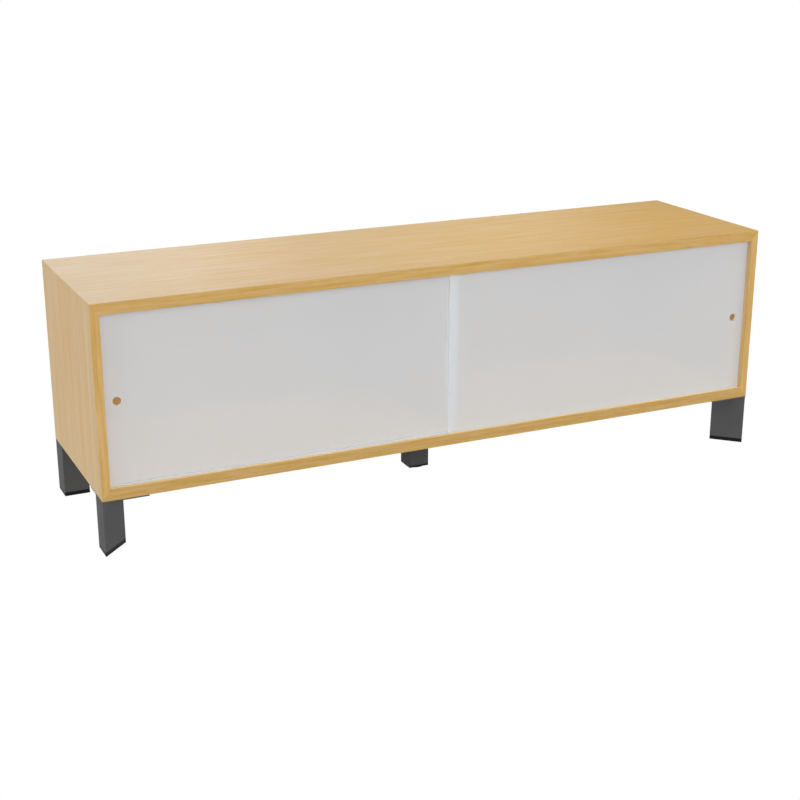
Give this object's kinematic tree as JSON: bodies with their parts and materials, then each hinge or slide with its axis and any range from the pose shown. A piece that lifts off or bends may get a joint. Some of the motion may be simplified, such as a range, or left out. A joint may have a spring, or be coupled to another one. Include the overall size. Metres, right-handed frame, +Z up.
{
  "type": "sliding door cabinet",
  "caption": "Low wide cabinet with mitred wooden case, two frosted sliding doors in grooved tracks, a centre partition and triangular steel corner legs.",
  "frame": {"origin": "on the floor under the middle of the case", "axes": "+X to the right along the long side as seen from the front, +Y from the doors to the back, +Z up"},
  "size_m": [1.6, 0.42, 0.533],
  "materials": {
    "veneer": "pale fine-grained veneer, satin lacquer",
    "lipping_wood": "solid golden wood strip, satin lacquer",
    "joint_wood": "unfinished beech",
    "frosted_sheet": "frosted translucent white sheet with polished edges",
    "track_plastic": "satin white plastic section",
    "leg_coating": "fine dark grey powder coat",
    "black_plastic": "moulded black plastic",
    "zinc_screws": "bright zinc plate"
  },
  "bodies": {
    "case": {"back_panel": "veneer", "bottom_board": "veneer", "bottom_left_tongue": "joint_wood", "bottom_lipping": "lipping_wood", "bottom_right_tongue": "joint_wood", "bottom_track": "track_plastic", "centre_leg": "leg_coating", "centre_leg_insert": "black_plastic", "centre_leg_screw_1": "zinc_screws", "centre_leg_screw_2": "zinc_screws", "centre_leg_screw_3": "zinc_screws", "centre_leg_screw_4": "zinc_screws", "centre_partition": "veneer", "front_left_foot_cap": "black_plastic", "front_left_leg": "leg_coating", "front_left_leg_screw_1": "zinc_screws", "front_left_leg_screw_2": "zinc_screws", "front_left_leg_screw_3": "zinc_screws", "front_right_foot_cap": "black_plastic", "front_right_leg": "leg_coating", "front_right_leg_screw_1": "zinc_screws", "front_right_leg_screw_2": "zinc_screws", "front_right_leg_screw_3": "zinc_screws", "left_lipping": "lipping_wood", "left_side": "veneer", "partition_bottom_dowel_1": "joint_wood", "partition_bottom_dowel_2": "joint_wood", "partition_bottom_dowel_3": "joint_wood", "partition_lipping": "lipping_wood", "partition_top_dowel_1": "joint_wood", "partition_top_dowel_2": "joint_wood", "partition_top_dowel_3": "joint_wood", "rear_left_foot_cap": "black_plastic", "rear_left_leg": "leg_coating", "rear_left_leg_screw_1": "zinc_screws", "rear_left_leg_screw_2": "zinc_screws", "rear_left_leg_screw_3": "zinc_screws", "rear_right_foot_cap": "black_plastic", "rear_right_leg": "leg_coating", "rear_right_leg_screw_1": "zinc_screws", "rear_right_leg_screw_2": "zinc_screws", "rear_right_leg_screw_3": "zinc_screws", "right_lipping": "lipping_wood", "right_side": "veneer", "top_board": "veneer", "top_left_tongue": "joint_wood", "top_lipping": "lipping_wood", "top_right_tongue": "joint_wood", "top_track": "track_plastic"},
    "left_door": {"left_door": "frosted_sheet"},
    "right_door": {"right_door": "frosted_sheet"},
    "centre_glide": {"centre_glide": "black_plastic"}
  },
  "joints": [
    {"name": "left_door_slide", "type": "slide", "parent": "case", "child": "left_door", "axis": [1, 0, 0], "range_m": [0, 0.7695]},
    {"name": "right_door_slide", "type": "slide", "parent": "case", "child": "right_door", "axis": [-1, 0, 0], "range_m": [0, 0.7695]},
    {"name": "centre_glide_screw", "type": "slide", "parent": "case", "child": "centre_glide", "axis": [0, 0, -1], "range_m": [0, 0.01]}
  ]
}
